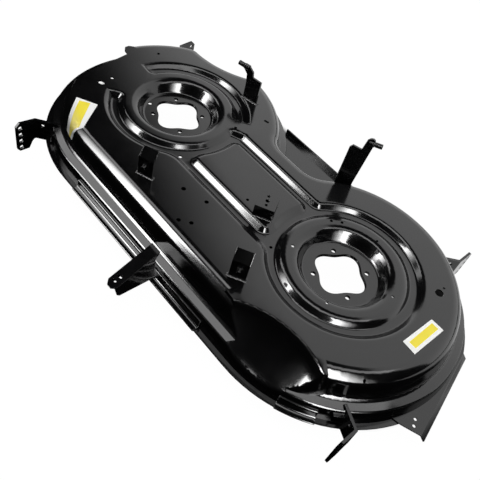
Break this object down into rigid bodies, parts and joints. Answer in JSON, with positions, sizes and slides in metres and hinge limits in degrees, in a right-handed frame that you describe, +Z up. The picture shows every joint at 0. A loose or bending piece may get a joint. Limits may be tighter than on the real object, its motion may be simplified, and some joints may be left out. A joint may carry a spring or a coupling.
{
  "type": "lawn mower deck",
  "caption": "Pressed steel side-discharge mower deck with belt track, spindle recesses and openings, discharge window, wheel brackets, lift brackets and front hanger.",
  "frame": {"origin": "centre of the discharge-end spindle seat, on the top of its recess floor", "axes": "+X along the deck to the other spindle, -Y to the front of the machine, +Z up along the spindle"},
  "size_m": [1.0392, 0.64, 0.224],
  "materials": {
    "gloss_paint": "gloss black paint",
    "label": "plain white vinyl"
  },
  "bodies": {
    "root": {"deck_shell": "gloss_paint", "spindle_doubler_discharge": "gloss_paint", "spindle_doubler_far": "gloss_paint", "front_strip": "gloss_paint", "end_strip": "gloss_paint", "front_hanger": "gloss_paint", "wheel_bracket_front_discharge": "gloss_paint", "wheel_bracket_front_far": "gloss_paint", "wheel_bracket_rear_discharge": "gloss_paint", "wheel_bracket_rear_far": "gloss_paint", "lift_bracket_discharge": "gloss_paint", "lift_bracket_far": "gloss_paint", "lift_pin_discharge": "gloss_paint", "lift_pin_far": "gloss_paint", "rear_bridge": "gloss_paint", "side_guard": "gloss_paint", "stop_bracket_discharge": "gloss_paint", "stop_bracket_far": "gloss_paint", "stop_nuts": "gloss_paint", "saddle_bracket": "gloss_paint", "label_front": "label", "label_end": "label"}
  },
  "joints": []
}
